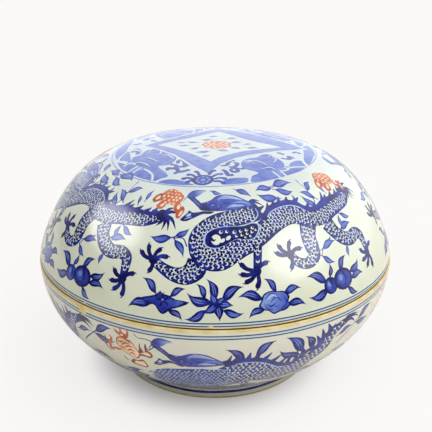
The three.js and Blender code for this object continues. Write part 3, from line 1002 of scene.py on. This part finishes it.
THORNS = (((16, 94), (19.4, 97.4)), ((16.6, 89), (20.2, 88)), ((20, 92), (21.2, 101)), ((23, 96), (24, 102)),
          ((26, 98), (27.2, 105)), ((29.4, 98), (30.6, 103)), ((32.4, 95.4), (35.8, 99.5)),
          ((36.4, 87), (39, 93)), ((40.4, 86), (41, 91.5)), ((45.6, 88), (48.4, 98)),
          ((48, 89.4), (49.4, 94)), ((51.6, 89), (53.6, 94.4)), ((55.4, 88.6), (57.4, 94)),
          ((58.6, 89.6), (60, 95.4)))
LIMBS = (
    (((-5.1, 53), (-6, 46), (-8.5, 41.5), (-11.7, 41.5), (-15, 45)), (16, 16.5, 14, 10.5, 8, 6), (-18.8, 51),
     ((-21.2, 62), (-17, 60.5), (-14.4, 55), (-23.3, 56), (-19.3, 41.5))),
    (((33.4, 75), (31.6, 65), (31.6, 55.5), (31.4, 48), (28.4, 43.4), (25.2, 46.6)),
     (16, 14.5, 13.5, 11, 8, 7, 6), (23.3, 53.5),
     ((20, 61.5), (24.1, 63.6), (18.8, 56), (22.9, 42), (27.3, 57))),
    (((41.4, 70), (43, 60.5), (45.5, 53.5), (48.6, 50.5), (52, 52), (54.4, 49), (54.8, 42)),
     (16, 12.5, 12, 11, 10, 9, 7, 5), (54.7, 32),
     ((51.2, 37), (51, 28), (52.5, 21.5), (55.6, 18.5), (58, 38))),
)
FORELEG = (((13.4, 65), (12.9, 56), (12.4, 48)), (6.8, 6.2, 5.4, 5), (12.1, 44),
           ((7.3, 50.5), (7.4, 42), (8.6, 35.5), (11.9, 31), (15.5, 50.5)))
SPRIGS = (((-1.9, 117), (3.1, 114)), ((9.2, 118), (15.6, 107.5)), ((27, 115), (18.3, 114)),
          ((27.7, 117), (38.9, 115.4)), ((27.6, 112.6), (35.7, 107)), ((26.9, 103), (18, 111)),
          ((43.6, 93), (37.8, 104)), ((42.4, 102.6), (48.4, 111)), ((50.8, 94.5), (49.2, 104)),
          ((53, 99), (54.3, 112)), ((42.4, 113.5), (42.2, 119)), ((47.6, 60.5), (48.8, 73.5)),
          ((49.4, 73.4), (54.3, 67)), ((46, 60.5), (52.6, 62)), ((45.8, 47), (45.1, 36.5)),
          ((35, 51), (41.5, 54)), ((34.2, 46), (38.5, 38)), ((-14.0, 70.4), (-21.6, 69.6)),
          ((-13.2, 71.4), (-8.6, 79.6)), ((-13.2, 69.2), (-9.6, 55)), ((33, 96), (33.6, 104)),
          ((41.6, 86), (37.4, 101)))
STEMS = (((-8.8, 64), (-10.4, 70.5), (-13.6, 70)), ((41, 88), (42.4, 96), (42.4, 113)),
         ((40, 58), (36, 53), (34.2, 46)))


def rounded_pearl(brush, at):
    """A pearl in flames: an orange ball with pale dots, two lobes behind it and a long lick below."""
    def shape(places, paint):
        brush.fill(curve(at, places, 3, closed=True), paint)

    for edge, light in (
            (((-23.5, 110), (-25.4, 106.9), (-26.1, 103.2), (-26.1, 101), (-24.9, 99.1), (-23.8, 100.3),
              (-22.2, 103.1)),
             ((-23.8, 107.2), (-24.7, 104.9), (-25.1, 102.3), (-24.1, 102.6), (-23.2, 104.6))),
            (((-21.9, 101.8), (-22.8, 98.6), (-23.3, 96.1), (-22.4, 94), (-21, 93.7), (-20.1, 95.5),
              (-19.6, 98.7)),
             ((-20.7, 99.9), (-21.5, 98.3), (-21.8, 96.4), (-21.1, 96.3), (-20.3, 97.9))),
            (((-15.8, 99.8), (-16.1, 96.1), (-15.5, 93.4), (-14.6, 91.2), (-14.5, 88.4), (-13.7, 86.7),
              (-12.9, 87.4), (-12.3, 90.3), (-11.7, 93.3), (-11.6, 95.7), (-12.2, 98.2), (-13, 98.9),
              (-13.4, 97.3), (-13.7, 100.3), (-14.6, 101.6)),
             ((-13.5, 89.1), (-13.4, 91.2), (-13, 93.2), (-12.3, 94.3), (-12.5, 91.4), (-13, 89.2)))):
        shape(edge, RED)
        shape(light, BLUSH)
    shape(((-14.6, 99.9), (-14.9, 97.4), (-14.5, 95.4), (-13.7, 95.5), (-13.7, 97.7), (-13.9, 99.9)), BLUSH)
    ball = ((-23.3, 108.3), (-22.8, 112.1), (-21.1, 115.7), (-18.8, 116.3), (-16, 114.3), (-13.9, 110.6),
            (-13.2, 107.9), (-13.5, 104.5), (-14.3, 101.2), (-15.4, 98.6), (-18, 99.2), (-20.6, 99.4),
            (-21.8, 101.1), (-22.8, 104.5))
    outline = curve(at, ball, 3, closed=True)
    middle = at(-18.3, 107.4)
    brush.fill(outline, RED)
    brush.fill(resized(outline, middle, 0.94), (0, 0.8, 0, 0))
    for row in range(-2, 3):
        for k in range(-3, 4):
            seat = complex((k + row % 2 / 2) * 4.8, row * 3.5)
            if abs(complex(seat.real, seat.imag * 1.5)) < 12:
                stray = complex(hand.uniform(-0.6, 0.6), hand.uniform(-0.5, 0.5))
                brush.dot(middle + seat + stray, hand.uniform(1.2, 1.7), (0, hand.uniform(0.2, 0.45), 0, 0),
                          0.8, 20, 8)


def star_flower(brush):
    """A flat four-petalled flower, dark in the middle."""
    petals = smooth([complex(*p) for p in ((-3, 7), (-6, 4), (-11, 2), (-20, -1), (-12, -3), (-6, -5),
                                           (-3, -9), (1, -11), (5, -8), (8, -6), (14, -4), (21, 0),
                                           (10, 1.5), (5, 4), (-1, 5))], 2, closed=True)
    brush.fill(petals, NAVY)
    brush.fill([0.8 * p - 0.3j for p in petals], COBALT, (BLUE, 0j, 15 + 0j))
    for k in range(5):
        brush.stroke(smooth([cmath.rect(1.0, k * 1.3), cmath.rect(4, k * 1.3 + 0.5),
                             cmath.rect(6, k * 1.3 + 0.2)], 3), (1.4, 1.8, 0.4), NAVY)
    brush.dot(-0.4 + 0.3j, 1.0, WASH, points=6)


def lily(brush):
    """Five narrow petals from one heart."""
    for tip in (-5 + 10j, 13 - 1j, 2 - 13j, -11 - 7j, 7 + 6j):
        leaf(brush, -0.12 * tip, tip, 0.5, bend=0.04)
    brush.dot(0, 2.4, NAVY)


def peony(brush):
    """A full round flower, pale in the middle with a swirl of petals."""
    edge = smooth([complex(*p) for p in ((-10, 2), (-8, 6), (-2, 8), (3, 7), (9, 6.4), (13.4, 2), (12, -2),
                                         (13.4, -5), (9, -8.4), (4, -9), (-1, -10.4), (-5, -7.4), (-9, -6.4),
                                         (-12.6, -3), (-11, 0))], 3, closed=True)
    brush.fill(edge, NAVY)
    brush.fill([0.88 * p for p in edge], BLUE, (WASH, 9 - 6j, -3 + 3j))
    for k, (start, bow, end) in enumerate(((-7 + 2j, -2 + 6j, 4 + 4j), (-3 - 1j, 2 + 3j, 6 - 1j),
                                           (6 - 1j, 3 - 5j, -2 - 3j), (9 + 1j, 10 - 4j, 5 - 7j),
                                           (-8 - 1j, -6 - 5j, -1 - 7j), (-6 - 2j, -3 - 4j, 1 - 2j))):
        brush.stroke(smooth([start, bow, end], 4), (0.5, 1.5, 0.5), COBALT if k % 2 else BLUE)
    brush.stroke(smooth([-6 + 1j, -1 + 4.4j, 3 + 2.6j], 4), (0.5, 1.8, 0.5), PALE)


def peaches(brush):
    """Two round fruits side by side, with a light cheek and a cleft."""
    for seat, wide, tall in ((-8.5 - 1j, 7.0, 7.0), (6.5 + 0.5j, 11.0, 9.0)):
        brush.dot(seat, wide, NAVY, tall / wide, points=20)
        brush.dot(seat + 0.3 - 0.2j, wide * 0.76, COBALT, tall / wide, points=16)
        brush.dot(seat - wide * 0.16 + 0.8j, wide * 0.46, BLUE, 1.2 * tall / wide, points=14)
        brush.dot(seat - wide * 0.24 + 1.4j, wide * 0.2, WASH, 1.4 * tall / wide, points=10)
        cleft = smooth([seat + tall * 0.7j, seat + complex(0.25 * wide, 0.1 * tall),
                        seat + complex(0.1 * wide, -0.5 * tall)], 4)
        brush.stroke(cleft, (2.4, 2.0, 0.6), NAVY)


SPRAYS = (
    (star_flower, (-14.2, 21), ((-6 + 4j, -20 + 15j), (5 + 3j, 18 + 10j), (-9 - 4j, -29 - 10j),
                                (4 - 7j, 16 - 15j))),
    (lily, (0.5, 19.8), ((-1 + 2j, -9 + 20j), (-3 + 1j, -24 + 9j), (-9 + 4j, -17 + 16j), (3 + 2j, 22 + 13j),
                         (4 - 4j, 21 - 7j), (-8 - 4j, -25 - 12j))),
    (peony, (16.1, 19.8), ((3 + 6j, -7 + 18j), (8 + 4j, 25 + 6j), (-8 + 2j, -29 + 5j), (10 - 4j, 27 - 8j),
                           (-7 - 5j, -21 - 12j))),
    (peaches, (37.6, 22), ((-11 + 2j, -31 + 11j), (-11 - 3j, -32 - 5j), (-8 + 5j, -5 + 17j),
                           (4 + 7j, 17 + 18j), (15 + 3j, 31 + 11j), (15 - 2j, 33 - 3j), (9 - 7j, 21 - 15j))),
)


def at(degrees, up):
    """A place in one dragon's share of the cover, in mm."""
    return complex(degrees * COVER_DEGREE, up)


def limb(brush, path, widths, palm, tips):
    """A scaled leg that ends in a claw."""
    scaly(brush, curve(at, (*path, palm)), widths)
    claw(brush, at(*palm), [at(*tip) for tip in tips])


for turn, stretch in SECTORS:
    brush = sector(cover_outside, COVER_DEGREE, turn, stretch)
    for flower, (degrees, up), leaves in SPRAYS:
        spray = Brush(cover_outside, cover_outside.here(turn + stretch * degrees, up))
        for k, (base, tip) in enumerate(leaves):
            leaf(spray, base, tip, 0.38, bend=0.14 if k % 2 else -0.14)
        flower(spray)
    for stem in STEMS:
        brush.stroke(curve(at, stem), (1.2, 1.0, 0.8), COBALT)
    for k, (base, tip) in enumerate(SPRIGS):
        leaf(brush, at(*base), at(*tip), 0.36, COBALT, BLUE, 0.1 if k % 2 else -0.1)
    rounded_pearl(brush, at if turn <= 0 else lambda d, u: at(d - 13.5, u))
    for leg in LIMBS:
        limb(brush, *leg)
    brush.dot(at(*SPINE[0]), BODY[0] / 2 + 0.5, NAVY, points=16)
    scaly(brush, curve(at, SPINE, 5), BODY)
    fin(brush, at, FIN, THORNS, FIN[3:9], 3.2)
    brush.dot(at(62.4, 88.5), 6.2, NAVY, 0.85, points=14)
    tuft(brush, at, (63, 88.5), ((61.4, 78.5), (63.8, 75.6), (66, 75.6), (68.6, 77.5), (66.4, 96.5),
                                 (68.4, 91)), 4.0)
    loop = curve(at, LOOP, 3, closed=True)
    eye = at(6, 73.5)
    brush.fill(resized(loop, eye, 1.06), PALE)
    brush.fill(loop, NAVY)
    brush.stroke(curve(at, NECK_LINE), (1.1, 1.1, 1.0, 0.6), PALE)
    brush.dot(at(0.3, 70.3), 4.3, GROUND, points=14)
    brush.stroke(curve(at, ((-1.4, 71.5), (-0.5, 69.6), (0.2, 70.6))), (2.6, 1.8, 0.6), NAVY)
    for degrees, up, wide in ((2.4, 69.6, 2.4), (4.3, 71.6, 2.6)):
        brush.dot(at(degrees, up), wide, GROUND, 0.62, 35, 8)
    for degrees, up, wide in ((1.9, 76.6, 1.8), (3.9, 76.9, 1.6), (6.4, 76.2, 1.9), (8.5, 76.8, 1.6),
                              (10.5, 77.6, 1.7), (12.7, 78.9, 1.7), (7.0, 73.0, 1.4), (8.8, 73.6, 1.5),
                              (10.6, 74.4, 1.4), (12.3, 75.6, 1.5), (13.7, 77.0, 1.2), (9.9, 71.6, 1.2),
                              (11.6, 72.4, 1.3)):
        brush.dot(at(degrees, up), wide, GROUND, 0.8, 25, 9)
        brush.dot(at(degrees, up) + complex(0.5, 0.4), wide * 0.6, NAVY, points=6)
    limb(brush, *FORELEG)
    dragon_head(brush, at, 1.0)

# Chips in the rim, down to golden clay.
CHIP = ((-1, -0.6), (1, -0.6), (0.7, 0.6), (0.1, 1.1), (-0.6, 0.5))
for turn, width in ((-1.2, 3.0), (-47, 2.6), (-39, 2.0)):
    chip = Brush(cover_outside, cover_outside.here(turn, 1.9))
    chip.fill([complex(x * width, y) for x, y in CHIP], CLAY)

inside_dome = []
for k in np.linspace(0, len(cover_outside.up) - 1, 30).astype(int):
    normal = complex(cover_outside.out[k], cover_outside.rise[k])
    spot = complex(cover_outside.radii[k], cover_outside.heights[k]) - COVER_WALL * normal / abs(normal)
    if spot.imag > spring:
        inside_dome.append((spot, -normal / abs(normal)))
inside_dome[-1] = (1j * (cover_high.z - COVER_WALL), -1j)
skirt_inside = COVER_RADIUS - COVER_WALL
rim_profile = rounded([complex(COVER_RADIUS, RIM_HEIGHT + RIM_ROUND), complex(COVER_RADIUS, RIM_HEIGHT),
                       complex(skirt_inside, RIM_HEIGHT), complex(skirt_inside, spring)],
                      (RIM_ROUND * 0.98, 0.8), 1)


def rim_paint(p):
    """Painted shade under the rim, bare round its edge, and glazed above."""
    if p.imag > RIM_HEIGHT + 1.3:
        return GROUND
    return CLAY if p.imag > RIM_HEIGHT + 0.3 else PAINTED_JOINT_SHADE


cover_skin = Skin()
cover_skin.add_outside(cover_outside, RIM_ROUND, cover_outside.up[-1], grain=5.0)
cover_skin.add_turned(rim_profile + inside_dome, "inside", rim_paint)
cover = cover_skin.build("cover_porcelain")
# Glaze tones up the cover: greener where the glaze gathers low down, and darker low down and at the crown as
# painted shade.
cover_glaze_and_shade = ((0.16, "#cdd2bc"), (0.42, "#d9deca"), (0.76, "#d8dfd0"), (0.95, "#c0c8c3"))
cover.data.materials.append(painted_porcelain("painted porcelain, cover", cover_glaze_and_shade, low=0.117, high=0.24))
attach(cover, "cover")
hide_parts("cover")


# Studio
# A pale matt floor that runs out of sight into white air, and two soft boxes that the glaze mirrors.
# The soft boxes show only in reflections; a broad key light and the white air light the piece.
floor_mesh = bpy.data.meshes.new("studio_floor")
REACH = 6.0
floor_mesh.from_pydata([(-REACH, -REACH, 0), (REACH, -REACH, 0), (REACH, REACH, 0), (-REACH, REACH, 0)], [],
                       [(0, 1, 2, 3)])
floor = placed("studio_floor", floor_mesh)
# The floor glows with painted light, seen only by the eye and in the glaze; near the foot the glow fades as
# a painted shade, so the floor's own shadow shows there.
paper = bpy.data.materials.new("white paper with painted glow")
paper_tree = emptied(paper)
CONTACT = (-0.008, -0.006, 0)  # middle of the painted shade round the foot, where the floor's glow fades
SOFT = {"interpolation_type": "SMOOTHSTEP"}
here = node(paper_tree, "TexCoord").outputs["Object"]
from_contact = node(paper_tree, "VectorMath", {0: here, 1: CONTACT}, operation="DISTANCE")
spread = node(paper_tree, "VectorMath", {0: here}, operation="LENGTH")
# Painted shade: the glow the eye sees fades near the foot and weakens a little towards the box, so there the
# lit paper and its own shadow show.
past_foot = node(paper_tree, "MapRange", {"Value": from_contact, "From Min": 0.085, "From Max": 0.135,
                                          "To Min": 0.2}, **SOFT)
far_out = node(paper_tree, "MapRange", {"Value": spread, "From Min": 0.1, "From Max": 0.5, "To Min": 0.85,
                                        "To Max": 0.985}, **SOFT)
near_eye = node(paper_tree, "Math", {0: past_foot, 1: far_out}, operation="MULTIPLY")
# In the glaze the floor glows only from 0.3 m out; nearer, it shows lit by the lamps alone.
near_glaze = node(paper_tree, "MapRange", {"Value": spread, "From Min": 0.3, "From Max": 1.0,
                                           "To Max": 0.97}, **SOFT)
seen = node(paper_tree, "LightPath").outputs
to_eye = node(paper_tree, "Math", {0: seen["Is Camera Ray"], 1: near_eye}, operation="MULTIPLY")
away = node(paper_tree, "Math", {0: seen["Is Glossy Ray"], 1: near_glaze, 2: to_eye},
            operation="MULTIPLY_ADD")
lit_paper = node(paper_tree, "BsdfDiffuse", {"Color": linear("#f3ece5")})
# The glow is painted light: the paper gives it only to the eye and to the glaze, not to the piece.
painted_paper_glow = node(paper_tree, "Emission", {"Color": linear("#fdfcfb"), "Strength": 0.98})
sweep = node(paper_tree, "MixShader", {0: away, 1: lit_paper, 2: painted_paper_glow})
node(paper_tree, "OutputMaterial", {"Surface": sweep})
floor_mesh.materials.append(paper)

world = bpy.data.worlds.new("white studio air")
bpy.context.scene.world = world
air = emptied(world)
rays = node(air, "LightPath").outputs
from_where = node(air, "TexCoord").outputs["Generated"]
sideways = node(air, "VectorMath", {0: from_where, 1: (0.8, 0.35, 0.1)}, operation="DOT_PRODUCT")
room = node(air, "MapRange", {"Value": sideways, "From Min": -0.6, "From Max": 0.6, "To Min": 0.4,
                              "To Max": 1.05}, **SOFT)
behind = node(air, "VectorMath", {0: from_where, 1: (0.4, 0.8, 0.45)}, operation="DOT_PRODUCT")
sheen = node(air, "MapRange", {"Value": behind, "From Min": -0.05, "From Max": 0.65, "To Min": 0.12,
                               "To Max": 1.7}, **SOFT)
diffused = node(air, "Background", {"Color": linear("#ffffff"), "Strength": room})
mirrored = node(air, "Background", {"Color": linear("#f2f6ff"), "Strength": sheen})
lit = node(air, "MixShader", {0: rays["Is Glossy Ray"], 1: diffused, 2: mirrored})
backdrop = node(air, "Background", {"Color": linear("#ffffff"), "Strength": 0.95})
shown = node(air, "MixShader", {0: rays["Is Camera Ray"], 1: lit, 2: backdrop})
node(air, "OutputWorld", {"Surface": shown})


def softbox(name, azimuth, elevation, distance, width, height, power, mirrored):
    """An area light aimed at the box, placed by degrees and metres. A mirrored one shows in the glaze only;
    the others only light it."""
    lamp = bpy.data.lights.new(name, "AREA")
    lamp.shape = "RECTANGLE"
    lamp.size = width
    lamp.size_y = height
    lamp.energy = power
    if mirrored:
        cloth = emptied(lamp)
        across = node(cloth, "NewGeometry").outputs["Parametric"]
        off_centre = node(cloth, "VectorMath", {0: across, 1: (0.5, 0.5, 0)}, operation="DISTANCE")
        fading = node(cloth, "MapRange", {"Value": off_centre, "From Min": 0.25, "From Max": 0.5,
                                          "To Min": 1, "To Max": 0}, **SOFT)
        glow = node(cloth, "Emission", {"Strength": fading})
        node(cloth, "OutputLight", {"Surface": glow})
    holder = placed(name, lamp)
    around_z = math.radians(azimuth)
    above = math.radians(elevation)
    aim = Vector((0, 0, 0.12))
    away = Vector((math.sin(around_z) * math.cos(above), -math.cos(around_z) * math.cos(above),
                   math.sin(above)))
    holder.location = aim + distance * away
    holder.rotation_euler = away.to_track_quat("Z", "Y").to_euler()
    holder.visible_camera = False
    holder.visible_diffuse = not mirrored
    holder.visible_glossy = mirrored


softbox("left soft box", -86, 36, 1.3, 1.3, 0.9, 25, True)
softbox("right soft box", 58, 32, 1.3, 1.2, 0.9, 17, True)
softbox("key light", 38, 60, 1.8, 1.4, 1.4, 16.5, False)

# Camera: a 57 mm lens a little above the rim, as the photograph was taken.
CAMERA_DISTANCE = 0.6251
CAMERA_HEIGHT = 0.3957
CAMERA_PITCH = 0.384
PHOTO_SIZE = 432  # pixels
FOCAL_PIXELS = 681.9
AXIS_OFFSET = 0.88  # pixels by which the box stands left of the photograph's middle
eye_data = bpy.data.cameras.new("camera")
eye_data.sensor_width = 36
eye_data.lens = FOCAL_PIXELS / PHOTO_SIZE * eye_data.sensor_width
eye_data.shift_x = AXIS_OFFSET / PHOTO_SIZE
camera = placed("camera", eye_data)
camera.location = (0, -CAMERA_DISTANCE, CAMERA_HEIGHT)
camera.rotation_euler = (math.pi / 2 - CAMERA_PITCH, 0, 0)
bpy.context.scene.camera = camera
bpy.context.scene.view_settings.view_transform = "Standard"
